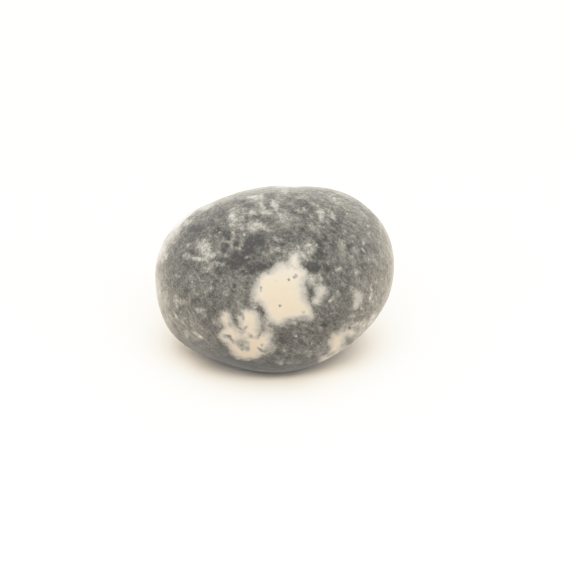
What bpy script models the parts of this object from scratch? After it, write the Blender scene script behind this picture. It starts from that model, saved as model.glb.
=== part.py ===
"""A bluestone pebble: one tumbled piece of spotted dolerite, lying on its flattest side.

The stone is a long rounded block whose long axis leans a little, worn by broad flats, fuller at
one end, and faintly uneven all over as tumbling leaves it. It rests on a small worn foot.
Metres, +Z up, origin at the middle of the footprint. The front of the stone faces -Y.
"""

import math
import random

import bmesh
import bpy
from mathutils import Vector, noise

MM = 0.001

# Driving dimensions: the finished stone's overall size.
LENGTH = 36.0 * MM  # along X
DEPTH = 30.6 * MM  # along Y
HEIGHT = 27.0 * MM  # along Z, foot to crown

# The block before wear: an ellipsoid a little squarer than round, its long axis leaning up to +X.
BLOCK_HALF = (18.0 * MM, 15.3 * MM, 13.4 * MM)
BLOCK_SQUARENESS = 2.15  # 2 is a true ellipsoid, more is boxier
LONG_AXIS_RISE = math.radians(9.3)
BLUNT_END = 0.04  # the +X end stands out by this share, and the -X end is drawn in by it

# Worn flats (negative) and swells left between them (positive): compass bearing from +X towards
# +Y, height above the horizon, both in degrees, how far the surface moves, and its angular reach.
NARROW_REACH = math.radians(14.0)
BROAD_REACH = math.radians(23.0)
WIDE_REACH = math.radians(32.0)
WEAR = (
    (43, 55, -1.02 * MM, BROAD_REACH),  # flat sloping off the crown to the right
    (137, 42, -1.01 * MM, BROAD_REACH),  # flat across the back of the left shoulder
    (168, 30, 0.63 * MM, BROAD_REACH),  # the left shoulder
    (213, -35, -1.26 * MM, BROAD_REACH),  # undercut at the lower left
    (192, -30, 0.75 * MM, NARROW_REACH),  # ridge between that undercut and the left end
    (-13, -23, -0.90 * MM, BROAD_REACH),  # undercut at the lower right
    (10, -4, 0.85 * MM, BROAD_REACH),  # fullness of the right end
    (14, 42, 0.42 * MM, NARROW_REACH),  # small shoulder above it
    (-98, 12, 0.35 * MM, WIDE_REACH),  # belly of the front
    (62, 2, -0.60 * MM, BROAD_REACH),  # worn panel at the back, right of the middle
    (118, -18, 0.35 * MM, BROAD_REACH),  # swell below it
    (-48, 38, -0.30 * MM, BROAD_REACH),  # faint facet over the front right
    (-136, 30, -0.25 * MM, BROAD_REACH),  # faint facet over the front left
)

# The unevenness that tumbling leaves: slow undulation, and shallow bruises where harder grains
# stood and lost a flake.
UNDULATION = 0.16 * MM
UNDULATION_SPAN = 9.0 * MM
UNDULATION_FADE = 0.9  # how fast its finer octaves lose height
UNDULATION_STEP = 2.1  # how much finer each octave is than the last
UNDULATION_OCTAVES = 3
BRUISES = 46
BRUISE_DEPTH = (0.05 * MM, 0.17 * MM)
BRUISE_ACROSS = (2.2 * MM, 4.6 * MM)
BRUISE_SLOPE = 1.6  # how fast a bruise shallows towards its rim
BRUISE_JOSTLE = 0.22  # how far bruises stray from even spacing, as a share of the radius
BRUISE_SEED = 7

# The foot: everything this close to the lowest point is worn flat, and the wear fades out above.
FOOT_WEAR = 0.42 * MM
FOOT_FADE = 0.50 * MM

PANELS = 26  # panels along each edge of the cube that the stone is rounded from
GOLDEN_ANGLE = math.pi * (3.0 - math.sqrt(5.0))

STONE_COLOUR = (0.19, 0.185, 0.165, 1.0)
STONE_ROUGHNESS = 0.45


def clear_scene():
    for obj in list(bpy.data.objects):
        bpy.data.objects.remove(obj, do_unlink=True)


def bearing(azimuth, elevation):
    """The unit vector at a compass bearing and a height above the horizon, in degrees."""
    turn, rise = math.radians(azimuth), math.radians(elevation)
    level = math.cos(rise)
    return Vector((level * math.cos(turn), level * math.sin(turn), math.sin(rise)))


def round_cube():
    """A cube cut into even panels and blown up to the unit sphere."""
    bm = bmesh.new()
    bmesh.ops.create_cube(bm, size=2.0)
    bmesh.ops.subdivide_edges(bm, edges=bm.edges[:], cuts=PANELS - 1, use_grid_fill=True)
    for vert in bm.verts:
        evened = Vector([math.tan(side * math.pi / 4) for side in vert.co])
        vert.co = evened.normalized()
    return bm


def block_radius(toward):
    """How far the unworn block reaches in a direction, its long axis leaning about Y."""
    lean, rise = math.cos(LONG_AXIS_RISE), math.sin(LONG_AXIS_RISE)
    along = toward.x * lean + toward.z * rise
    upward = toward.z * lean - toward.x * rise
    shares = zip((along, toward.y, upward), BLOCK_HALF)
    total = sum(abs(part / half) ** BLOCK_SQUARENESS for part, half in shares)
    return total ** (-1.0 / BLOCK_SQUARENESS) * (1.0 + BLUNT_END * along)


def wear(toward):
    """The sum of the flats and swells in a direction."""
    total = 0.0
    for azimuth, elevation, depth, reach in WEAR:
        closeness = toward.dot(bearing(azimuth, elevation)) - 1.0
        total += depth * math.exp(closeness / reach**2)
    return total


def scatter_bruises():
    """(direction, depth, half width) of each bruise, spread evenly and then jostled."""
    rng = random.Random(BRUISE_SEED)
    bruises = []
    for index in range(BRUISES):
        height = 1.0 - 2.0 * (index + 0.5) / BRUISES
        level = math.sqrt(1.0 - height * height)
        turn = index * GOLDEN_ANGLE
        spot = Vector((level * math.cos(turn), level * math.sin(turn), height))
        jostle = Vector([rng.uniform(-BRUISE_JOSTLE, BRUISE_JOSTLE) for _ in range(3)])
        depth = rng.uniform(*BRUISE_DEPTH)
        bruises.append(((spot + jostle).normalized(), depth, rng.uniform(*BRUISE_ACROSS) / 2))
    return bruises


def unevenness(toward, radius, bruises):
    """Slow undulation, less the bruises that reach this point."""
    place = toward * radius / UNDULATION_SPAN
    swell = noise.fractal(place, UNDULATION_FADE, UNDULATION_STEP, UNDULATION_OCTAVES)
    offset = UNDULATION * swell
    for spot, depth, half_width in bruises:
        across = radius * (toward - spot).length / half_width
        offset -= depth * math.exp(-(across**2) * BRUISE_SLOPE)
    return offset


def shape_stone(bm):
    bruises = scatter_bruises()
    for vert in bm.verts:
        toward = vert.co.copy()
        radius = block_radius(toward) + wear(toward)
        vert.co = toward * (radius + unevenness(toward, radius, bruises))


def wear_foot(bm):
    """Grinds the lowest points to one level plane, easing into the curve above it."""
    level = min(vert.co.z for vert in bm.verts) + FOOT_WEAR
    for vert in bm.verts:
        above = max(vert.co.z - level, 0.0)
        vert.co.z = above * above / (above + FOOT_FADE)


def fit_to_size(bm):
    """Brings the stone to its driving dimensions, with the origin at the middle of its foot side."""
    lows = [min(vert.co[axis] for vert in bm.verts) for axis in range(3)]
    highs = [max(vert.co[axis] for vert in bm.verts) for axis in range(3)]
    middle = Vector(((lows[0] + highs[0]) / 2, (lows[1] + highs[1]) / 2, lows[2]))
    bmesh.ops.translate(bm, verts=bm.verts[:], vec=-middle)
    wanted = (LENGTH, DEPTH, HEIGHT)
    factors = [size / (high - low) for size, high, low in zip(wanted, highs, lows)]
    bmesh.ops.scale(bm, verts=bm.verts[:], vec=factors)


def stone_material():
    material = bpy.data.materials.new("spotted_dolerite")
    material.use_nodes = True
    surface = material.node_tree.nodes["Principled BSDF"]
    surface.inputs["Base Color"].default_value = STONE_COLOUR
    surface.inputs["Roughness"].default_value = STONE_ROUGHNESS
    surface.inputs["Metallic"].default_value = 0.0
    return material


def make_stone():
    bm = round_cube()
    shape_stone(bm)
    wear_foot(bm)
    fit_to_size(bm)
    bmesh.ops.recalc_face_normals(bm, faces=bm.faces[:])
    bmesh.ops.triangulate(bm, faces=bm.faces[:], quad_method="SHORT_EDGE")
    mesh = bpy.data.meshes.new("stone")
    bm.to_mesh(mesh)
    bm.free()
    mesh.shade_smooth()
    mesh.materials.append(stone_material())
    stone = bpy.data.objects.new("stone", mesh)
    bpy.context.scene.collection.objects.link(stone)
    return stone


clear_scene()
make_stone()
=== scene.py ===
# A tumbled bluestone pebble: grey spotted dolerite with cream feldspar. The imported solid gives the
# form; this script makes the fine worn surface, the rock's markings and a plain white studio.
import math
import random

import bmesh
import bpy
import numpy as np
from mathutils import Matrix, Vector, noise
from mathutils.bvhtree import BVHTree
from mathutils.kdtree import KDTree


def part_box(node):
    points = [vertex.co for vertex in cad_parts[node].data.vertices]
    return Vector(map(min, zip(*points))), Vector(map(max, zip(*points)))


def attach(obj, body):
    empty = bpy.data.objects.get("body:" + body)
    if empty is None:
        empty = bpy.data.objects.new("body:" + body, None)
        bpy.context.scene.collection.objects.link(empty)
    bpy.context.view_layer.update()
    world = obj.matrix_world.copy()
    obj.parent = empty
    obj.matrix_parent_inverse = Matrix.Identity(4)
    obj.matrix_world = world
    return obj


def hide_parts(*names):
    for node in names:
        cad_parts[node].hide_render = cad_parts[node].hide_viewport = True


mm = 0.001

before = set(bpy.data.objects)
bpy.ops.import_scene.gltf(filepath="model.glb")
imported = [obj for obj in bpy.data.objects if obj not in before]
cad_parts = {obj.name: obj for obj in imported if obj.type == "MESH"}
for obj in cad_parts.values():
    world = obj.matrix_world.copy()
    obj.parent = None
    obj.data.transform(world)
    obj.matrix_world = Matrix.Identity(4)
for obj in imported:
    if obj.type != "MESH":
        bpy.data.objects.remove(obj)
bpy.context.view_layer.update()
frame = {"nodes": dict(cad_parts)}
print("frame loaded:", ", ".join(frame["nodes"]))

# The camera looks down on the front of the stone. Pixels count from the top left of the picture.
viewpoint = {
    "aim": Vector((1.54 * mm, 0.0, 11.73 * mm)),
    "elevation": math.radians(25.0),
    "distance": 300.0 * mm,
    "pixel": 0.1502 * mm,  # what one pixel spans at the aim
    "picture": 570,  # pixels across and down
    "sensor": 36.0,
    "nearest": 10 * mm,  # where the camera starts to see
}
towardsCamera = Vector((0.0, -math.cos(viewpoint["elevation"]), math.sin(viewpoint["elevation"])))
pictureUp = Vector((0.0, math.sin(viewpoint["elevation"]), math.cos(viewpoint["elevation"])))
pictureRight = Vector((1.0, 0.0, 0.0))
lensPoint = viewpoint["aim"] + towardsCamera * viewpoint["distance"]


def makeCamera():
    data = bpy.data.cameras.new("camera")
    data.sensor_width = viewpoint["sensor"]
    data.lens = viewpoint["sensor"] * viewpoint["distance"] / (viewpoint["pixel"] * viewpoint["picture"])
    data.clip_start = viewpoint["nearest"]
    data.dof.use_dof = False
    camera = bpy.data.objects.new("camera", data)
    camera.location = lensPoint
    camera.rotation_euler = towardsCamera.to_track_quat("Z", "Y").to_euler()
    bpy.context.scene.collection.objects.link(camera)
    bpy.context.scene.camera = camera


makeCamera()
print("camera placed")

# The body: a cube blown up to a ball, pressed onto the solid and smoothed until no facet shows.
stoneBody = {
    "cuts": 127,  # cuts along each edge of the cube
    "smoothPasses": 26,
    "smoothing": 0.5,
    "mergeDistance": 0.001 * mm,
}


def roundedCube(cuts):
    bm = bmesh.new()
    bmesh.ops.create_cube(bm, size=2.0)
    bmesh.ops.subdivide_edges(bm, edges=bm.edges[:], cuts=cuts, use_grid_fill=True)
    for vert in bm.verts:
        vert.co = Vector([math.tan(side * math.pi / 4) for side in vert.co]).normalized()
    return bm


def solidTree(node):
    bm = bmesh.new()
    bm.from_mesh(frame["nodes"][node].data)
    bmesh.ops.remove_doubles(bm, verts=bm.verts[:], dist=stoneBody["mergeDistance"])
    tree = BVHTree.FromBMesh(bm)
    bm.free()
    return tree


lowest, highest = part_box("stone")
middle = (Vector(lowest) + Vector(highest)) / 2
solid = solidTree("stone")


def makeBody():
    bm = roundedCube(stoneBody["cuts"])
    for vert in bm.verts:
        vert.co = solid.ray_cast(middle, vert.co)[0]
    for smoothPass in range(stoneBody["smoothPasses"]):
        bmesh.ops.smooth_vert(
            bm, verts=bm.verts, factor=stoneBody["smoothing"],
            use_axis_x=True, use_axis_y=True, use_axis_z=True,
        )
    bm.normal_update()
    return bm


body = makeBody()
places = np.array([vert.co for vert in body.verts])
normals = np.array([vert.normal for vert in body.verts])
print("body rounded:", len(places), "points")


def ease(values, low, high):
    # 0 below low, 1 above high, with a soft start and end
    share = np.clip((values - low) / (high - low), 0, 1)
    return share * share * (3 - 2 * share)


# Every marking is drawn on points that wander a little, so that no edge runs clean.
wander = {
    "seed": 3,
    "coarse": {"span": 1.3 * mm, "reach": 0.20 * mm, "start": 11.0},
    "fine": {"span": 0.45 * mm, "reach": 0.14 * mm, "start": 23.0},
}
noise.seed_set(wander["seed"])  # else noise_vector gives other pushes on every run


def drift(span, reach, start):
    # a smooth push for every point of the body
    shift = Vector((start, 0.0, 0.0))
    pushes = [noise.noise_vector(Vector(place) / span + shift) for place in places]
    return reach * np.array(pushes)


wandered = places + drift(**wander["coarse"]) + drift(**wander["fine"])
finder = KDTree(len(wandered))
for index, place in enumerate(wandered):
    finder.insert(place, index)
finder.balance()


def pointsNear(centre, distance):
    return np.array([index for place, index, away in finder.find_range(centre, distance)], dtype=int)


def asPictured(points):
    # where points fall in the picture, in pixels
    along = points - np.array(lensPoint)
    depth = -along @ np.array(towardsCamera)
    scale = viewpoint["distance"] / viewpoint["pixel"] / depth
    across = viewpoint["picture"] / 2 + along @ np.array(pictureRight) * scale
    down = viewpoint["picture"] / 2 - along @ np.array(pictureUp) * scale
    return np.column_stack((across, down))


# Facing is 1 where the surface looks straight at the camera, 0 at the edge that it sees.
pictured = asPictured(wandered)
sight = np.array(lensPoint) - places
facing = (normals * sight).sum(axis=1) / np.linalg.norm(sight, axis=1)


def roundedOutline(corners, steps=4):
    # a closed Catmull-Rom curve through the corners
    corners = np.array(corners, dtype=float)
    before, after, beyond = (np.roll(corners, shift, axis=0) for shift in (1, -1, -2))
    stretches = []
    for step in range(steps):
        t = step / steps
        stretch = corners + t * (after - before) / 2
        stretch += t * t * (before - 2.5 * corners + 2 * after - beyond / 2)
        stretch += t * t * t * (1.5 * (corners - after) + (beyond - before) / 2)
        stretches.append(stretch)
    return np.stack(stretches, axis=1).reshape(-1, 2)


def depthInside(outline, points):
    # how far points lie inside a closed outline, negative outside it
    nearest = np.full(len(points), np.inf)
    inside = np.zeros(len(points), dtype=bool)
    for start, end in zip(outline, np.roll(outline, -1, axis=0)):
        side = end - start
        offset = points - start
        share = np.clip(offset @ side / (side @ side), 0, 1)
        nearest = np.minimum(nearest, np.linalg.norm(offset - share[:, None] * side, axis=1))
        if start[1] != end[1]:
            spans = (points[:, 1] >= start[1]) != (points[:, 1] >= end[1])
            inside ^= spans & (offset[:, 0] < (points[:, 1] - start[1]) / side[1] * side[0])
    return np.where(inside, nearest, -nearest)


# Feldspar is kept as a depth: how far a point lies inside the nearest patch.
patchEdges = {
    "outside": 5 * mm,  # a point this far outside has no feldspar at all
    "frontEnds": (-0.15, 0.06),  # facing over which the front patches close up
    "hiddenEnds": (0.0, 0.35),  # the same for a hidden patch, facing the side it is drawn from
    "hiddenStops": (0.12, 0.34),  # facing over which the hidden patches give way to the front
    "front": (-0.02, 0.16),  # facing over which the strewn spots give way to the front's own
}

# Cream feldspar on the front, outlined in picture pixels, clockwise from the top of each patch.
frontFeldspar = {
    "middle": [
        (294.5, 251.5), (298.5, 253.5), (299.7, 259), (300.3, 264.5), (303, 267.5), (307, 270.5),
        (307.5, 275), (306.3, 280), (305.3, 284.5), (306.8, 290), (306.5, 296), (308, 301),
        (311.5, 306), (313.8, 312), (313, 318), (309, 320.7), (301, 320.5), (293, 320),
        (286.5, 321.5), (282.5, 325), (277, 326.3), (271.5, 323.5), (267.5, 318.5), (264, 311.5),
        (261.5, 305.3), (257.5, 303), (253.5, 301.5), (251.8, 295), (252.2, 289), (255, 283),
        (257.5, 278), (262, 273), (268.5, 270), (273.5, 266.5), (277.5, 262.5), (282.5, 261.5),
        (287.5, 262), (289.7, 256),
    ],
    "rightLobe": [
        (317.5, 285.5), (321.5, 284.5), (326, 286.5), (327.3, 290.5), (326, 295.5), (322.5, 298),
        (321.8, 302), (318.5, 305.3), (314.3, 305), (311.7, 301.3), (312.5, 297.5), (315, 295.5),
        (314.3, 291.5), (315, 288),
    ],
    "cluster": [
        (225.5, 310.5), (230.5, 313), (232, 318), (233.5, 322), (236, 325.5), (237.5, 323.5),
        (236.5, 320), (236, 316), (240, 312), (245, 308), (250, 309.5), (256, 312), (260, 318),
        (261.5, 325), (262.5, 331), (268, 330.5), (272.5, 335), (271.5, 340.5), (274, 343.5),
        (276.5, 347.5), (273, 352), (267, 353.5), (262.5, 356.4), (254, 359), (245, 360),
        (237, 358), (231.5, 354.5), (228.5, 349.5), (223, 342.5), (218, 337.5), (219, 332.5),
        (223, 328), (222, 323.5), (220, 318.5), (222, 312.5),
    ],
    "flank": [
        (357, 291), (361, 293), (362.7, 298), (361, 303), (358, 307), (353.5, 308.5), (353.5, 303),
        (354.5, 297), (354, 292.5),
    ],
    "lowerRight": [
        (334, 332.5), (338.5, 331.5), (342, 329), (345, 325), (349.5, 323.5), (352, 327), (355, 330),
        (356, 334), (352, 337.5), (347, 337), (345.5, 341), (344.5, 346), (340.5, 351), (335, 355.5),
        (328, 359), (319.5, 361.5), (321.5, 357.5), (327.5, 354.5), (329.5, 350), (329, 345),
        (328, 342), (330.5, 339), (331, 335.5),
    ],
}


def frontDepth():
    # the front patches close up a little way past the edge that the camera sees
    deepest = np.full(len(places), -patchEdges["outside"])
    near = np.flatnonzero(facing > patchEdges["frontEnds"][0])
    pastEdge = patchEdges["outside"] * (1 - ease(facing[near], *patchEdges["frontEnds"]))
    for corners in frontFeldspar.values():
        depth = depthInside(roundedOutline(corners), pictured[near]) * viewpoint["pixel"]
        deepest[near] = np.maximum(deepest[near], depth - pastEdge)
    return deepest


# Cream feldspar on the sides that the camera doesn't see: compass bearing from +X towards +Y and
# height above the horizon in degrees, half width, lobes, and small patches broken off beside it.
hiddenFeldspar = {
    "leftEnd": {"bearing": (183, 30), "reach": 4.6 * mm, "lobes": 5, "crumbs": 2, "seed": 4},
    "underRight": {"bearing": (-42, -40), "reach": 3.6 * mm, "lobes": 4, "crumbs": 1, "seed": 9},
    "back": {"bearing": (98, 32), "reach": 4.8 * mm, "lobes": 6, "crumbs": 3, "seed": 2},
    "backLow": {"bearing": (66, -14), "reach": 3.2 * mm, "lobes": 4, "crumbs": 3, "seed": 8},
    "backLeft": {"bearing": (146, -8), "reach": 3.9 * mm, "lobes": 5, "crumbs": 2, "seed": 6},
    "rightEnd": {"bearing": (34, 4), "reach": 3.0 * mm, "lobes": 5, "crumbs": 3, "seed": 12},
    "leftLow": {"bearing": (188, -42), "reach": 2.6 * mm, "lobes": 3, "crumbs": 1, "seed": 5},
    "crown": {"bearing": (62, 66), "reach": 2.2 * mm, "lobes": 4, "crumbs": 2, "seed": 14},
    "underside": {"bearing": (100, -66), "reach": 3.4 * mm, "lobes": 5, "crumbs": 2, "seed": 3},
}
lobedPatch = {
    "points": 72,
    "height": 0.85,  # as a share of the width
    "reach": 0.9,  # the mean half width, as a share of the patch's reach
    "bulge": 0.42,  # how far the lobes swing out and in
    "waveSize": (0.5, 1.1),
    "waveFade": 0.85,  # how much smaller the finer waves are
    "around": 2.6,  # how many reaches the patch's surroundings take in
}
crumb = {"away": (1.1, 1.45), "reach": (0.14, 0.3), "lobes": 3}  # lengths in reaches of the patch


def towards(azimuth, elevation):
    turn, rise = math.radians(azimuth), math.radians(elevation)
    return Vector((math.cos(rise) * math.cos(turn), math.cos(rise) * math.sin(turn), math.sin(rise)))


def lookedAtFrom(azimuth, elevation, reach):
    # the points round the place that a bearing meets, flat coordinates there, and how squarely they
    # face that way
    spot, normal = solid.ray_cast(middle, towards(azimuth, elevation))[:2]
    right = Vector((0.0, 0.0, 1.0)).cross(normal).normalized()
    up = normal.cross(right)
    around = pointsNear(spot, reach)
    offset = wandered[around] - np.array(spot)
    flat = np.column_stack((offset @ np.array(right), offset @ np.array(up)))
    return around, flat, normals[around] @ np.array(normal)


def lobedOutline(rng, reach, lobes):
    # a circle with a few lobes and finer bites
    waves = []
    for count in (2, 3, lobes, lobes + 2, 2 * lobes + 1, 3 * lobes + 1):
        size = rng.uniform(*lobedPatch["waveSize"]) / count ** lobedPatch["waveFade"]
        waves.append((count, size, rng.uniform(0, math.tau)))
    outline = []
    for index in range(lobedPatch["points"]):
        turn = math.tau * index / lobedPatch["points"]
        bulge = sum(size * math.sin(count * turn + start) for count, size, start in waves)
        radius = reach * math.exp(lobedPatch["bulge"] * bulge)
        outline.append((radius * math.cos(turn), lobedPatch["height"] * radius * math.sin(turn)))
    return np.array(outline)


def patchOutlines(patch):
    # the patch itself, then its crumbs
    rng = random.Random(patch["seed"])
    outlines = [lobedOutline(rng, lobedPatch["reach"] * patch["reach"], patch["lobes"])]
    for count in range(patch["crumbs"]):
        turn = rng.uniform(0, math.tau)
        away = rng.uniform(*crumb["away"]) * patch["reach"]
        outline = lobedOutline(rng, rng.uniform(*crumb["reach"]) * patch["reach"], crumb["lobes"])
        outlines.append(outline + away * np.array((math.cos(turn), math.sin(turn))))
    return outlines


def hiddenDepth():
    deepest = np.full(len(places), -patchEdges["outside"])
    for patch in hiddenFeldspar.values():
        around, flat, squareness = lookedAtFrom(*patch["bearing"], lobedPatch["around"] * patch["reach"])
        pastEdge = patchEdges["outside"] * (1 - ease(squareness, *patchEdges["hiddenEnds"]))
        for outline in patchOutlines(patch):
            deepest[around] = np.maximum(deepest[around], depthInside(outline, flat) - pastEdge)
    return deepest


onFront = ease(facing, *patchEdges["front"])  # how far a point belongs to the front
behind = hiddenDepth() - patchEdges["outside"] * ease(facing, *patchEdges["hiddenStops"])
feldspar = np.maximum(frontDepth(), behind)
print("feldspar laid out:", len(frontFeldspar), "patches in front,", len(hiddenFeldspar), "round the rest")

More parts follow.
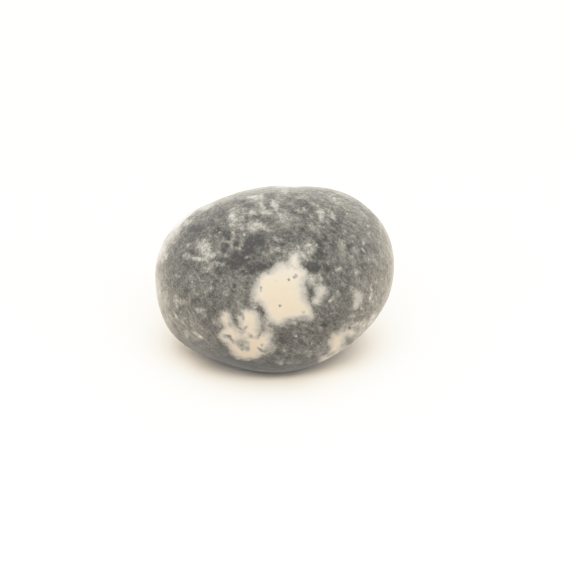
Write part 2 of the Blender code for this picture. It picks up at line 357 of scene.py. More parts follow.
# Lighter and darker spots of the grey rock on the front, by how much they lift the shade. A spot is
# (x, y, half width) or (x, y, half width, half height) or that and the degrees it leans, clockwise.
frontSpots = {
    "black": {"shade": -0.15, "spots": [
        (222, 260, 8, 1.8, 3), (252, 271, 3.2, 3), (239, 259, 9.5, 8.5), (232, 264, 6, 3.4, -20),
        (250, 245, 5.5, 8.5), (259, 240.5, 5, 9.5, 12), (312.8, 266.5, 7.5, 6),
        # (238, 363.5), low on the foot, is painted shade under the stone, where the floor shades it
        (260.5, 267, 9.5, 4.6, -10), (320.5, 250, 3, 9), (238, 363.5, 20, 4, 10),
    ]},
    "inky": {"shade": -0.12, "spots": [
        # towards the top
        (248, 205, 6, 2.6), (243, 201.5, 3, 1.6),
        # left side
        (224, 251, 2.2, 3.6), (231, 264, 6.5, 3.2, -20), (226, 245.5, 3, 6), (228, 236.5, 3, 3.5),
        (220.5, 260.2, 9.5, 2, 5), (196, 229, 10, 3.2, -14),
        # above and round the middle patch
        (233.5, 268.5, 5, 2.6, -10), (240, 252, 2, 2), (253, 242, 10, 7), (259, 266, 13, 4.5, -6),
        (236.3, 243.5, 3.2, 3.6), (233.5, 288.5, 2.6, 4), (233, 291, 2.5), (243, 273, 4, 2.5),
        (281, 243.5, 3.5, 1.5, 45), (237, 264, 9, 4.5),
        # right side
        (319.8, 247, 4.4, 9), (317, 257.5, 4.5, 6, 20), (324.5, 325, 3, 2.2, 30),
        (327.5, 268.5, 4.5, 4), (326, 237, 5.5, 2, 55),
        # towards the foot; (233, 361.5) is painted shade under the stone, where the floor shades it
        (233, 361.5, 16, 4, 18), (313, 358, 2, 3),
    ]},
    "dark": {"shade": -0.06, "spots": [
        # towards the top
        (222, 213, 4, 6), (256, 217, 5, 3), (246, 220, 2.5, 5), (235, 202.5, 6, 4, -20),
        (270, 221, 9, 4), (271, 196, 6, 3), (267.5, 204, 3, 4), (293, 212.5, 4, 2),
        (311, 210.5, 3.5, 3), (304, 204, 5, 4), (316, 217, 2.5, 4), (332, 221, 3, 2.5, 20),
        # left side
        (217, 231, 4.5, 5), (213, 223, 4, 3), (224, 233, 4, 3), (193, 237.5, 2.2, 1.8),
        (187, 264, 7, 4), (198, 268.5, 4, 3), (204.5, 275, 6, 3), (220, 269.5, 6, 3.5),
        (193, 252, 7, 3, 15), (186, 290, 4, 4.5), (183, 296, 3.5, 2.5), (196, 299, 3.5, 3.5),
        (192, 306, 2.5), (213, 296, 7, 2.5), (213, 311, 4), (199, 315, 1.8, 1.3), (202, 323, 4, 2.2),
        (210, 337, 2.2, 4), (200, 343, 6, 1.6), (182, 307, 3, 1.6),
        # above and round the middle patch
        (301, 229, 4, 2.5), (287, 234, 6, 7), (298, 240, 10, 5), (314, 236, 4, 5, 45), (254, 256, 7, 4),
        (309.8, 294, 1.6, 4.5),
        # right side
        (336, 225, 6.5, 5), (333, 231.5, 4, 2.5), (325, 240, 3, 4), (333, 246, 3.5, 5),
        (337, 263, 2.2, 7), (348, 247, 2.6, 2.4), (362, 254, 2, 3.5), (363, 264, 3, 3),
        (349, 268, 3.5, 3.5), (327, 282, 5, 2.5, 20), (331, 291, 1.6, 3), (342, 291, 3, 5),
        (373, 272, 3, 1, -45), (356, 310, 2, 1.5, -35), (337, 316, 1.8), (325, 322, 4, 2),
        (322, 339, 1.6, 2), (323, 250, 5, 12),
        # towards the foot
        (260.5, 311, 1.5, 5.5, -36), (221, 345, 4.5, 2.5, 35), (284, 338, 7, 4.5, 15), (283, 343, 3, 2),
        (299, 324.5, 3, 2), (312, 323, 4, 3), (311, 333, 3, 2), (303, 344, 3.5, 1.5), (291, 349, 2, 4),
        (280, 353, 5, 2), (302, 359, 3, 1), (305, 364, 3, 2), (287, 358, 3, 1.2), (275, 366, 6, 2.4),
        (272, 360, 4, 2.5), (263.5, 356.5, 2.5, 2), (326, 353.5, 4, 1.6, -35), (346, 346, 5, 1.4, -48),
    ]},
    "pale": {"shade": 0.10, "spots": [
        # towards the top
        (363, 213, 4, 1.4, 45), (327.5, 220, 2.4, 7), (240, 216.5, 5, 3), (294, 219, 4.5, 3),
        (281, 217, 6, 8), (292, 204, 4, 2, 45), (313, 204, 3, 2), (343, 208, 4, 1.2, 45),
        (285, 191, 4, 3), (284, 217, 5, 10), (300, 211, 7, 2), (326, 211, 4, 3.5),
        (319, 206, 5, 1.8, 60), (337, 202, 8, 3, 35), (301, 197, 7, 2),
        # left side
        # the thin stripe (158, 290) hugging the left rim is a painted rim highlight
        (158, 290, 14, 2.6, 86), (209, 236.5, 2, 1.6), (215.5, 236.5, 2, 1.6), (165, 300, 4, 8),
        (211, 288, 3.2, 1.7, -30), (198, 293.5, 2.2, 0.8), (173, 241, 2.4, 3), (207, 269, 6, 4),
        (197, 240, 2), (217, 264, 9, 3, 8), (231.5, 244, 1.4, 5), (218, 252.5, 3.5, 2.6),
        (177, 276, 2.5, 2), (226, 293, 4, 3), (190, 302, 1, 4.5), (184, 302, 4, 3), (203, 316, 3, 4),
        (170, 318, 3, 3.5), (182, 322, 3.5, 1.6, 45), (192, 327, 3, 1.4, 40), (201, 327, 4, 1.2, 55),
        (215, 321, 2.5, 4), (191, 281, 3, 5.5, -15), (178, 299, 3.5, 4),
        # above and round the middle patch
        (240, 248, 1.6), (252, 296, 2.4, 10), (315, 229.5, 8, 2.6, 50), (286, 225, 6, 3),
        (232.5, 236, 2.2, 8), (240.8, 270, 1.6, 4), (264.5, 254, 2, 4), (242, 242, 1.6, 4.5),
        (275, 249.5, 6, 3.5), (241, 224, 5, 6), (286, 254, 4, 5), (314, 246, 3.2, 4.2),
        # right side
        (352, 317, 4, 3, -40), (322, 300, 3, 3), (372, 302, 1.4), (343, 226, 1.4, 1.1, 20),
        (344, 286, 3, 2), (366, 258, 4, 6), (350, 257, 4, 3), (345, 232, 1.6, 2.2), (353, 236, 3, 1.2),
        (356, 250.5, 4.5, 2.6), (338, 294, 2.5, 5), (319, 281.5, 2.6, 3), (369, 233, 1, 3),
        (342, 246, 4.2, 5.5), (321, 328, 2.6, 2.2), (332, 313, 1.2), (353, 289, 4, 3), (355, 262, 3),
        (328, 263, 2), (323.5, 226.5, 1.2), (343, 321, 1.2), (352, 309, 5, 2), (333, 228, 1.6, 1.2, 45),
        # towards the foot
        (340, 345, 8, 4, -45), (262, 305, 2, 3, -40), (304, 331.5, 2, 1.3), (295, 331, 3, 1.2),
        (304, 338, 2.2, 1.6), (298, 352, 2.5, 1.6), (305, 352, 2.5, 1.8), (309, 354, 2.5, 3),
        (294, 363, 8, 1.6, -3), (282, 360, 3, 1, -40), (284, 351, 1.6), (293, 323, 8, 2),
        (322, 354, 6, 1.4, -35), (303, 325.5, 5, 1.5), (270, 349, 5, 4),
    ]},
    "milky": {"shade": 0.18, "spots": [
        # towards the top
        (206, 206, 8, 3.5, -28), (208, 199, 17, 5, -28), (186, 213, 15, 4.5, -38), (256, 197, 8, 2.6),
        (233, 219, 4.6, 9), (253, 212.5, 4.5, 2.5), (262.5, 206, 5, 2.8, 60), (266, 212, 6, 2.6),
        (275, 205, 6, 3.4, 50), (321, 214, 4, 6.5, -15), (333, 217, 4, 2.2, 65), (304, 208.5, 1.4, 1),
        # left side
        (165.5, 256, 2, 3), (172, 230, 14, 7.5, -60), (161, 250, 11, 4, -72), (186.5, 223, 6, 2.5, -30),
        (218.5, 323, 2.5, 5), (204, 248, 7, 7.5), (210, 256, 5, 4), (203.5, 244, 2.4, 2),
        (163, 261, 1.6, 2), (220.5, 232.5, 1.6, 1.3), (204, 240, 1.6), (188, 245, 1.8),
        (187, 256, 4, 3), (227, 242, 4, 1.6, 10), (176, 304, 5, 1.4, 63), (200, 310, 4.5, 2.6),
        (176, 317, 1.2, 3), (187, 334, 2.5, 4),
        # above and round the middle patch
        (257, 227, 11, 5.5, 5), (267, 229.5, 6, 2.4, 25), (309, 248.5, 4, 8), (303, 254, 6, 3, 50),
        (244.5, 234.5, 1.2), (312, 279.5, 5.5, 6), (315, 284, 3, 2.2), (278, 239.5, 5.5, 2.4, 25),
        # right side
        (338, 270, 3), (363, 250, 3, 0.9, 50), (357, 273, 2.5, 4), (331.5, 299, 1.6, 4.5, 35),
        (371, 297, 1.6, 6), (376, 281, 1.6, 2), (319.5, 277, 2.2, 4.5), (357, 325, 9, 4, -15),
        (367, 331, 3, 8, 38), (356, 337.5, 8, 1.6, -52),
        # towards the foot
        (270, 321, 2.6, 3.5), (312.3, 343.2, 1.2), (325, 358, 5, 1.5, -30), (263, 347, 12, 4),
        (238, 305, 1.6, 3.5), (280, 363, 3.5, 2.2), (265.5, 323, 4, 8), (269, 330, 4, 4),
    ]},
    "bright": {"shade": 0.22, "spots": [
        # towards the top
        (232.5, 217, 3, 4.5),
        # left side
        (206, 257.5, 4, 4), (206, 247, 3.4, 5, 5), (198, 259, 6, 2, 6), (198, 335, 7, 1.9, 37),
        # above and round the middle patch
        (303, 254, 7, 1.3, 52), (300, 249.5, 5, 1.1, 55), (246.5, 257.5, 2, 1.6, -30),
        # right side
        (364, 243, 1.6, 1.3), (368, 226, 1.6), (361, 331, 6, 3, -50), (362, 308, 1.8, 1.6),
        (371, 288, 1.4, 5, 10), (371, 320, 2.4, 8, 32), (330, 341, 2.5, 2), (363, 324, 5, 3.5, -40),
        # towards the foot
        (296, 336, 2.4, 1.4, 30), (253.5, 306, 4, 3.5),
    ]},
    "chalky": {"shade": 0.26, "spots": [(201, 337, 3, 1.2, 37)]},
    "haze": {"shade": 0.045, "spots": [
        (224, 285, 7, 6), (347, 255, 8, 7), (262, 214, 28, 17), (216, 256, 14, 10),
        (350, 212, 20, 8, 40), (367, 288, 12, 36), (287, 224, 14, 8), (315, 217, 8, 12),
        (240, 322, 34, 7, 88), (190, 325, 14, 22, -40), (307, 249, 9, 13), (330, 345, 18, 8, -40),
    ]},
    "gloom": {"shade": -0.035, "spots": [
        # towards the top
        (345, 210, 9, 8), (224, 210, 8, 6), (286, 208, 6, 6),
        # left side
        (192, 232, 14, 9), (178, 272, 14, 22), (216, 286, 20, 20), (212, 318, 14, 9),
        # above and round the middle patch
        (292, 236, 26, 8), (250, 254, 22, 16), (281, 255, 7, 3),
        # right side
        (390, 270, 5, 12), (320, 262, 14, 16), (330, 228, 10, 9),
        # towards the foot; (240, 363) and (225, 356) are painted shade under the stone, where the floor
        # shades it
        (240, 363, 24, 5, 8), (297, 333, 12, 6), (225, 356, 22, 8, 30),
    ]},
}

# Specks, veils and lighter places inside the front's cream feldspar, written as the spots are.
frontSpecks = {
    "specks": {"shade": -0.30, "spots": [
        # middle
        (289, 280, 1.5), (294.8, 277, 1.3, 1.8), (296.8, 275, 1.3), (261.3, 289.5, 1.2, 3),
        (280.2, 305.5, 1.3),
        # cluster
        (241.3, 344.6, 4, 2.4), (243.5, 349, 2.4, 1.4), (228.5, 336.2, 3, 1.3, 14),
        (232, 339.5, 4, 1.8, 52), (236, 322, 4, 1.2, 60), (260, 349.5, 3.4, 1.2, 35),
        # lower right
        (349.5, 328, 1.6),
    ]},
    "grey": {"shade": -0.18, "spots": [
        # middle
        (303.3, 313, 2), (269, 272.5, 1.6, 1.2),
        # cluster
        (227.5, 336.5, 5, 2.4, 14), (232.5, 340.5, 5, 2.3, 52), (258.7, 335.5, 5.5, 1.2, -61),
        (243.5, 317.4, 1.8), (264.5, 351, 3.4, 1.6, 5), (240.2, 328.6, 3.4, 1.2, 35),
        (262.2, 345.6, 1.5), (241.5, 332, 4, 1.4, 12), (262.3, 328, 1.6, 3),
        (245, 328.6, 3.2, 1.3, -48), (251.6, 336.5, 1.8), (242, 343.5, 7.5, 5.5, 15),
        (247.5, 348, 3.4, 3), (240, 314.5, 2.8, 2.2), (244.5, 338.5, 1.4),
        # lower right
        (345.5, 328.5, 1.4, 4, 20), (351.5, 324.3, 4, 1.3, -15), (331, 355, 5, 1.4, -35),
        (342, 345, 1.6, 1.3), (354, 327.3, 1.6, 1.2),
    ]},
    "veils": {"shade": -0.045, "spots": [
        (256, 289, 5, 9), (280, 269, 19, 6, -8), (300, 288, 5, 15), (358, 299, 3, 5),
        (247, 332, 20, 13), (345, 336, 10, 7, -45), (321, 294, 6, 10),
    ]},
    "faint": {"shade": -0.09, "spots": [
        # middle
        (295, 268.3, 2), (277, 270, 1.6), (292, 265.8, 1.6), (275.5, 280.5, 1.2), (303, 318, 7, 2),
        # cluster
        (231, 325.5, 2.6), (245, 336.5, 12, 4.5), (256, 337.5, 4, 3.5), (270.5, 348, 6, 5),
    ]},
    "milky": {"shade": 0.035, "spots": [
        (245, 356.5, 13, 3.2), (224, 333, 4, 7), (345, 337, 7, 4, -45), (334, 352, 5, 3, -35),
    ]},
    "creamy": {"shade": 0.055, "spots": [(352, 333, 2.6, 2)]},
}

spotShape = {
    "sharpness": 0.7,  # how suddenly a spot ends at its rim
    "reach": 1.7,  # how many half widths away it is last felt
}


def spotShare(across, down):
    # 1 inside a spot, 0 well outside it
    return np.exp(-spotShape["sharpness"] * (across**2 + down**2) ** 2)


seen = np.flatnonzero(facing > patchEdges["front"][0])
seenFinder = KDTree(len(seen))
for index in seen:
    seenFinder.insert((*pictured[index], 0.0), index)
seenFinder.balance()


def pictureSpot(x, y, halfWidth, halfHeight=None, lean=0):
    # the points inside a spot of the picture, and how much of the spot each one takes
    halfHeight = halfHeight or halfWidth
    found = seenFinder.find_range((x, y, 0.0), spotShape["reach"] * max(halfWidth, halfHeight))
    near = np.array([index for place, index, away in found], dtype=int)
    turn = math.radians(lean)
    right, below = (pictured[near] - (x, y)).T
    across = (right * math.cos(turn) + below * math.sin(turn)) / halfWidth
    down = (below * math.cos(turn) - right * math.sin(turn)) / halfHeight
    return near, spotShare(across, down)


def addedUp(spots):
    # the darkest and the lightest spot at each point, added together
    darkest, lightest = np.zeros(len(places)), np.zeros(len(places))
    for shade, (near, share) in spots:
        darkest[near] = np.minimum(darkest[near], shade * share)
        lightest[near] = np.maximum(lightest[near], shade * share)
    return darkest + lightest


def frontShade(groups):
    return addedUp(
        (group["shade"], pictureSpot(*spot)) for group in groups.values() for spot in group["spots"]
    )


# The same kinds of spots strewn at random over the rest of the stone.
strewnSpots = {
    "inky": {"shade": -0.13, "count": 42, "size": (0.5 * mm, 1.9 * mm)},
    "dark": {"shade": -0.07, "count": 300, "size": (0.3 * mm, 1.1 * mm)},
    "pale": {"shade": 0.10, "count": 280, "size": (0.25 * mm, 1.1 * mm)},
    "milky": {"shade": 0.18, "count": 120, "size": (0.2 * mm, 1.0 * mm)},
    "bright": {"shade": 0.26, "count": 40, "size": (0.2 * mm, 0.7 * mm)},
    "haze": {"shade": 0.045, "count": 22, "size": (2.0 * mm, 4.0 * mm)},
    "gloom": {"shade": -0.035, "count": 22, "size": (2.0 * mm, 4.0 * mm)},
}
strewnSpecks = {
    "specks": {"shade": -0.30, "count": 240, "size": (0.14 * mm, 0.36 * mm)},
    "grey": {"shade": -0.17, "count": 200, "size": (0.25 * mm, 0.9 * mm)},
    "faint": {"shade": -0.09, "count": 130, "size": (0.5 * mm, 1.6 * mm)},
    "creamy": {"shade": 0.03, "count": 60, "size": (0.5 * mm, 1.4 * mm)},
}
strewn = {"spotSeed": 31, "speckSeed": 17, "roundness": (0.3, 1.0)}  # height of a spot over its width


def strewnSpot(rng, size):
    # the points inside a spot that falls anywhere on the stone, and their share in it
    height, turn = rng.uniform(-1, 1), rng.uniform(0, math.tau)
    halfWidth = rng.uniform(*size)
    halfHeight = halfWidth * rng.uniform(*strewn["roundness"])
    lean = rng.uniform(0, math.pi)
    level = math.sqrt(1 - height * height)
    toward = Vector((level * math.cos(turn), level * math.sin(turn), height))
    centre, normal = solid.ray_cast(middle, toward)[:2]
    right = normal.orthogonal().normalized()
    along = right * math.cos(lean) + normal.cross(right) * math.sin(lean)
    near = pointsNear(centre, spotShape["reach"] * halfWidth)
    offset = wandered[near] - np.array(centre)
    across = offset @ np.array(along) / halfWidth
    down = offset @ np.array(normal.cross(along)) / halfHeight
    return near, spotShare(across, down)


def strewnShade(groups, seed):
    rng = random.Random(seed)
    return addedUp(
        (group["shade"], strewnSpot(rng, group["size"]))
        for group in groups.values() for count in range(group["count"])
    )


# Slow changes of shade: a broad swell of the rock's own tone, and painted light where the surface faces up,
# down or along the stone (painted shade on the top and underside, a painted rim highlight on the ends).
swellAndPaintedLight = {
    "swell": {"span": 7.0 * mm, "reach": 0.03},
    # painted shade: the top a touch darker
    "crown": {"shade": -0.01, "facing": (0.1, 1.0)},
    # painted shade: the underside darker, as the floor shades it
    "underside": {"shade": -0.17, "facing": (0.4, 0.95)},
    # painted highlight: the ends lighter, where the rims catch the light
    "ends": {"shade": 0.08, "facing": (0.66, 0.98)},
}


def paintedLightAndSwell():
    # the swell is the rock's own tone; the rest is painted shade on the top and underside and a painted
    # highlight on the ends
    swell = [noise.noise(Vector(place) / swellAndPaintedLight["swell"]["span"]) for place in places]
    upwards, sideways = normals[:, 2], np.abs(normals[:, 0])
    paintedLightAndShade = sum(
        swellAndPaintedLight[part]["shade"] * ease(leaning, *swellAndPaintedLight[part]["facing"])
        for part, leaning in (("crown", upwards), ("underside", -upwards), ("ends", sideways))
    )
    return swellAndPaintedLight["swell"]["reach"] * np.array(swell) + paintedLightAndShade


def frontOrStrewn(front, around):
    # the front's own spots where the camera sees the stone, the strewn ones elsewhere
    return onFront * front + (1 - onFront) * around


shade = frontOrStrewn(frontShade(frontSpots), strewnShade(strewnSpots, strewn["spotSeed"]))
# adds the swell, and the painted shade and painted highlight that follow which way the surface faces
shade += paintedLightAndSwell()
specks = frontOrStrewn(frontShade(frontSpecks), strewnShade(strewnSpecks, strewn["speckSeed"]))
print("spots laid out:", sum(len(group["spots"]) for group in frontSpots.values()), "in front")

# Relief: pits where soft grains wore out, and the faint ripple of a tumbled surface.
relief = {
    "seed": 5,
    "pits": 130,
    "pitHalfWidth": (0.25 * mm, 0.55 * mm),
    "pitDepth": (0.02 * mm, 0.07 * mm),
    "pitReach": 3,  # how many half widths away a pit is last felt
    "rippleSpan": 1.1 * mm,
    "rippleDepth": 0.028 * mm,
    "rippleWaves": (1.0, 2.0, 2),  # how fast the finer waves fade, their step and their number
    "feldsparSunk": 0.03 * mm,  # the cream feldspar is a little softer than the grey rock
    "feldsparEdge": (-0.2 * mm, 0.5 * mm),  # depth in a patch over which it sinks
}


def wornDepth():
    rng = random.Random(relief["seed"])
    depth = np.zeros(len(places))
    for pit in range(relief["pits"]):
        toward = Vector([rng.gauss(0, 1) for side in range(3)]).normalized()
        centre = solid.ray_cast(middle, toward)[0]
        halfWidth = rng.uniform(*relief["pitHalfWidth"])
        near = pointsNear(centre, relief["pitReach"] * halfWidth)
        distance = np.linalg.norm(wandered[near] - np.array(centre), axis=1) / halfWidth
        depth[near] = np.maximum(depth[near], rng.uniform(*relief["pitDepth"]) * np.exp(-distance**2))
    ripple = np.array([
        noise.fractal(Vector(place) / relief["rippleSpan"], *relief["rippleWaves"]) for place in places
    ])
    depth += relief["rippleDepth"] * (1 + np.clip(ripple, -1, 1)) / 2
    return depth + relief["feldsparSunk"] * ease(feldspar, *relief["feldsparEdge"])


def carve():
    moved = places - normals * wornDepth()[:, None]
    for vert, place in zip(body.verts, moved):
        vert.co = place


carve()
print("relief carved:", relief["pits"], "pits")


def makeStone():
    mesh = bpy.data.meshes.new("stone_surface")
    body.normal_update()
    body.to_mesh(mesh)
    body.free()
    mesh.shade_smooth()
    # the shade attribute carries the rock's spots and tone together with the painted shade and painted
    # highlight
    for name, values in (("feldspar", feldspar / mm), ("shade", shade), ("specks", specks)):
        layer = mesh.attributes.new(name, "FLOAT", "POINT")
        layer.data.foreach_set("value", values.astype(np.float32))
    stone = bpy.data.objects.new("stone_surface", mesh)
    bpy.context.scene.collection.objects.link(stone)
    return stone


stone = makeStone()

# The rock's colours run along one line of shades, from near black grains to cream feldspar. A
# noise has its span, its detail and where it starts; its reach is how far it swings the shade.
dolerite = {
    "shades": [
        (0.290, (0.042, 0.040, 0.037)),
        (0.364, (0.061, 0.059, 0.053)),
        (0.454, (0.124, 0.121, 0.107)),
        (0.516, (0.171, 0.166, 0.147)),
        (0.572, (0.208, 0.204, 0.187)),
        (0.626, (0.241, 0.239, 0.221)),
        (0.686, (0.280, 0.276, 0.261)),
        (0.754, (0.324, 0.317, 0.302)),
        (0.793, (0.354, 0.342, 0.318)),
        (0.830, (0.392, 0.368, 0.338)),
        (0.883, (0.450, 0.413, 0.366)),
        (0.930, (0.463, 0.409, 0.350)),
        (1.000, (0.496, 0.436, 0.366)),
    ],
    "groundShade": 0.48,
    "noiseRoughness": 0.55,  # where a noise has none of its own
    "clouds": {"span": 1.9 * mm, "detail": 4.0, "roughness": 0.62, "reach": 0.10},
    "laths": {"span": 0.50 * mm, "detail": 3.0, "roughness": 0.6, "bend": 0.4, "reach": 0.18},
    "lathStretch": 2.6,  # how much longer than wide a lath is
    "lathLean": math.radians(50.0),
    "grains": {"span": 0.24 * mm, "detail": 2.0, "start": 40.0, "reach": 0.14},
    "crystals": {"span": 0.30 * mm, "reach": 0.05},
    # a fleck grows where its cell draws a number above the first of drawn
    "flecks": {"span": 0.95 * mm, "reach": 0.13, "size": 0.22, "drawn": (0.6, 1.0), "edge": (-0.08, 0.05)},
    "patchiness": {"span": 0.7 * mm, "detail": 3.0, "start": 170.0},
    "patchinessOver": (0.3, 0.7),
    "patchinessShare": (0.8, 1.6),  # how much of its shade a spot takes, from place to place
    "feldsparEdge": (-0.45, 0.42),  # mm of depth over which the grey turns cream
    "feldsparRagged": {"span": 0.4 * mm, "detail": 3.0, "start": 90.0, "reach": 0.40},  # reach in mm
    "feldsparCore": (0.1, 1.2),  # mm of depth over which the cream gets lighter
    "coreShades": (0.79, 0.89),
    "feldsparHeart": (0.3, 1.9),  # mm of depth over which it gets warmer still
    "heartShade": 0.045,
    "feldsparMottle": {"span": 0.6 * mm, "detail": 4.0, "start": 130.0, "reach": 0.05},
    "roughness": (0.42, 0.46),
    "roughnessOver": (0.4, 0.9),  # the shades between which it rises
    "specular": 0.7,
    "dust": 0.28,  # sheen of the fine dust left by wear
    "dustRoughness": 0.45,
    "bump": {"span": 0.22 * mm, "detail": 3.0, "start": 60.0},
    "bumpHeight": 0.012 * mm,
}


def addNode(tree, kind, settings, inputs):
    node = tree.nodes.new(kind)
    for name, value in settings.items():
        setattr(node, name, value)
    for name, value in inputs.items():
        if isinstance(value, bpy.types.NodeSocket):
            tree.links.new(value, node.inputs[name])
        else:
            node.inputs[name].default_value = value
    return node


def maths(tree, operation, first, second=0.0, third=0.0):
    node = addNode(tree, "ShaderNodeMath", {"operation": operation}, {0: first, 1: second, 2: third})
    return node.outputs[0]


def spread(tree, value, over, onto=(0.0, 1.0), kind="SMOOTHSTEP"):
    # turns the range over into the range onto, and stops at both ends
    ends = {"From Min": over[0], "From Max": over[1], "To Min": onto[0], "To Max": onto[1]}
    node = addNode(tree, "ShaderNodeMapRange", {"interpolation_type": kind}, {"Value": value, **ends})
    return node.outputs["Result"]


def swing(tree, value, reach, onto=0.0):
    # the swing of a noise about its middle, added to another value
    return maths(tree, "MULTIPLY_ADD", maths(tree, "SUBTRACT", value, 0.5), 2 * reach, onto)


def noiseAt(tree, place, settings):
    start = settings.get("start", 0.0) * mm
    if start:
        shifted = {0: place, 1: (start, 2 * start, -start)}
        place = addNode(tree, "ShaderNodeVectorMath", {"operation": "ADD"}, shifted).outputs[0]
    return addNode(tree, "ShaderNodeTexNoise", {}, {
        "Vector": place,
        "Scale": 1 / settings["span"],
        "Detail": settings["detail"],
        "Roughness": settings.get("roughness", dolerite["noiseRoughness"]),
        "Distortion": settings.get("bend", 0.0),
    }).outputs["Fac"]


def cellsAt(tree, place, settings, channel):
    # how far a point is from the middle of its cell, and a number drawn for the cell
    cells = addNode(tree, "ShaderNodeTexVoronoi", {}, {"Vector": place, "Scale": 1 / settings["span"]})
    draw = addNode(tree, "ShaderNodeSeparateColor", {}, {"Color": cells.outputs["Color"]})
    return cells.outputs["Distance"], draw.outputs[channel]


def greyShade(tree, place, spots):
    # spots, clouds, laths, grains, crystals and flecks on the rock's ground shade
    alongLaths = addNode(tree, "ShaderNodeMapping", {"vector_type": "TEXTURE"}, {
        "Vector": place,
        "Rotation": (viewpoint["elevation"], dolerite["lathLean"], 0.0),
        "Scale": (dolerite["lathStretch"], 1.0, 1.0),
    }).outputs[0]
    crystals = cellsAt(tree, place, dolerite["crystals"], "Red")[1]
    flecks = dolerite["flecks"]
    away, draw = cellsAt(tree, place, flecks, "Green")
    size = spread(tree, draw, flecks["drawn"], (0.0, flecks["size"]), "LINEAR")
    inFleck = spread(tree, maths(tree, "SUBTRACT", size, away), flecks["edge"])
    total = maths(tree, "ADD", spots, dolerite["groundShade"])
    total = swing(tree, noiseAt(tree, place, dolerite["clouds"]), dolerite["clouds"]["reach"], total)
    total = swing(tree, noiseAt(tree, alongLaths, dolerite["laths"]), dolerite["laths"]["reach"], total)
    total = swing(tree, noiseAt(tree, place, dolerite["grains"]), dolerite["grains"]["reach"], total)
    total = swing(tree, crystals, dolerite["crystals"]["reach"], total)
    return maths(tree, "MULTIPLY_ADD", inFleck, flecks["reach"], total)


def creamShade(tree, place, depth, raggedDepth, specks):
    # lighter towards the core of a patch, warmer towards its heart
    core = spread(tree, depth, dolerite["feldsparCore"], dolerite["coreShades"])
    heart = spread(tree, raggedDepth, dolerite["feldsparHeart"], (0.0, dolerite["heartShade"]))
    mottle = noiseAt(tree, place, dolerite["feldsparMottle"])
    total = swing(tree, mottle, dolerite["feldsparMottle"]["reach"], core)
    total = maths(tree, "ADD", total, heart)
    return maths(tree, "ADD", total, specks)


def makeDolerite():
    material = bpy.data.materials.new("dolerite")
    material.use_nodes = True
    tree = material.node_tree
    surface = tree.nodes["Principled BSDF"]
    place = addNode(tree, "ShaderNodeTexCoord", {}, {}).outputs["Object"]
    drawn = {
        name: addNode(tree, "ShaderNodeAttribute", {"attribute_name": name}, {}).outputs["Fac"]
        for name in ("feldspar", "specks", "shade")
    }
    patchiness = noiseAt(tree, place, dolerite["patchiness"])
    patchiness = spread(tree, patchiness, dolerite["patchinessOver"], dolerite["patchinessShare"])
    spots = maths(tree, "MULTIPLY", drawn["shade"], patchiness)
    specks = maths(tree, "MULTIPLY", drawn["specks"], patchiness)
    ragged = noiseAt(tree, place, dolerite["feldsparRagged"])
    raggedDepth = swing(tree, ragged, dolerite["feldsparRagged"]["reach"], drawn["feldspar"])
    grey = greyShade(tree, place, spots)
    cream = creamShade(tree, place, drawn["feldspar"], raggedDepth, specks)
    inFeldspar = spread(tree, raggedDepth, dolerite["feldsparEdge"])
    mixed = {"Factor": inFeldspar, "A": grey, "B": cream}
    rockShade = addNode(tree, "ShaderNodeMix", {"data_type": "FLOAT"}, mixed).outputs[0]

    ramp = addNode(tree, "ShaderNodeValToRGB", {}, {"Fac": rockShade})
    stops = ramp.color_ramp.elements
    while len(stops) < len(dolerite["shades"]):
        stops.new(0.5)
    for stop, (position, colour) in zip(stops, dolerite["shades"]):
        stop.position = position
        stop.color = (*colour, 1)
    tree.links.new(ramp.outputs["Color"], surface.inputs["Base Color"])

    roughness = spread(tree, rockShade, dolerite["roughnessOver"], dolerite["roughness"])
    tree.links.new(roughness, surface.inputs["Roughness"])
    surface.inputs["Specular IOR Level"].default_value = dolerite["specular"]
    surface.inputs["Sheen Weight"].default_value = dolerite["dust"]
    surface.inputs["Sheen Roughness"].default_value = dolerite["dustRoughness"]
    grain = noiseAt(tree, place, dolerite["bump"])
    bump = addNode(tree, "ShaderNodeBump", {}, {"Height": grain, "Distance": dolerite["bumpHeight"]})
    tree.links.new(bump.outputs["Normal"], surface.inputs["Normal"])
    return material


stone.data.materials.append(makeDolerite())
print("dolerite material made")

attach(stone, "root")
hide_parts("stone")

studio = {
    "white": (1.0, 0.985, 0.965),
    "tent": 2.1,  # light from all round
    "softbox": {"shape": "DISK", "size": (1.0, 1.0), "place": (0.0, -0.17, 0.5), "power": 1.2},
    # a strip light behind the camera that only the paper gets
    "fill": {"shape": "RECTANGLE", "size": (2.0, 0.36), "place": (0.05, -0.6, 0.48), "power": 21.0},
    "exposedWhite": 3.26,  # the light that stands at 1 on the tone curve
    "toneCurve": [
        (0.0, 0.0), (0.10, 0.165), (0.14, 0.245), (0.17, 0.325), (0.20, 0.43), (0.23, 0.545), (0.26, 0.665),
        (0.29, 0.775), (0.32, 0.86), (0.36, 0.935), (0.41, 0.98), (0.46, 1.0), (1.0, 1.0),
    ],
    "floorSize": 3.0,
    "floorColour": (0.495, 0.473, 0.44),
    "floorRoughness": 0.9,
}


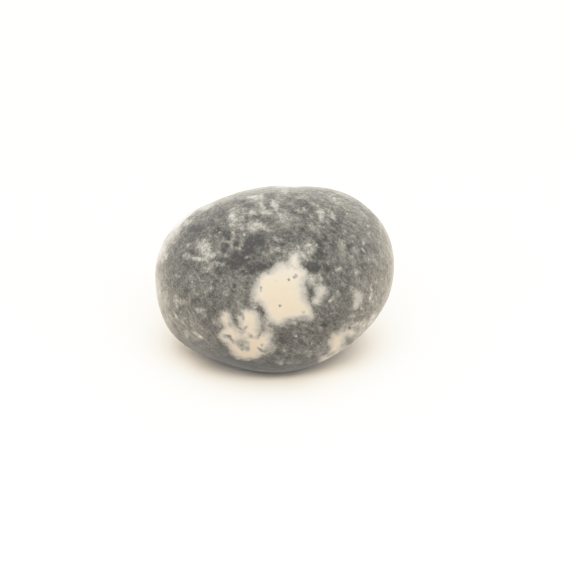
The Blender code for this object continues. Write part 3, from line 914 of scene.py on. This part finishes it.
def setFilm():
    settings = bpy.context.scene.view_settings
    settings.view_transform = "Standard"
    settings.use_curve_mapping = True
    settings.curve_mapping.white_level = [studio["exposedWhite"]] * 3
    points = settings.curve_mapping.curves[3].points  # the curve of all three colours together
    while len(points) < len(studio["toneCurve"]):
        points.new(0.5, 0.5)
    for point, place in zip(points, studio["toneCurve"]):
        point.location = place
    settings.curve_mapping.update()


def makeTent():
    world = bpy.data.worlds.new("tent")
    world.use_nodes = True
    background = world.node_tree.nodes["Background"]
    background.inputs["Color"].default_value = (*studio["white"], 1)
    background.inputs["Strength"].default_value = studio["tent"]
    bpy.context.scene.world = world


def makeLight(name):
    # an area light aimed at the origin
    light = bpy.data.lights.new(name, "AREA")
    light.shape = studio[name]["shape"]
    light.size, light.size_y = studio[name]["size"]
    light.energy = studio[name]["power"]
    light.color = studio["white"]
    lamp = bpy.data.objects.new(name, light)
    lamp.location = studio[name]["place"]
    lamp.rotation_euler = Vector(studio[name]["place"]).to_track_quat("Z", "Y").to_euler()
    bpy.context.scene.collection.objects.link(lamp)
    return lamp


def makeFloor():
    paper = bpy.data.materials.new("white_paper")
    paper.use_nodes = True
    surface = paper.node_tree.nodes["Principled BSDF"]
    surface.inputs["Base Color"].default_value = (*studio["floorColour"], 1)
    surface.inputs["Roughness"].default_value = studio["floorRoughness"]
    bm = bmesh.new()
    bmesh.ops.create_grid(bm, x_segments=1, y_segments=1, size=studio["floorSize"] / 2)
    mesh = bpy.data.meshes.new("floor")
    bm.to_mesh(mesh)
    bm.free()
    mesh.materials.append(paper)
    floor = bpy.data.objects.new("floor", mesh)
    bpy.context.scene.collection.objects.link(floor)
    return floor


def lightOnly(lamp, lit):
    # a light that only one object gets, and that the camera doesn't see
    group = bpy.data.collections.new("lit_by_" + lamp.name)
    group.objects.link(lit)
    lamp.light_linking.receiver_collection = group
    lamp.visible_camera = False


setFilm()
makeTent()
makeLight("softbox")
floor = makeFloor()
lightOnly(makeLight("fill"), floor)
print("studio lit")
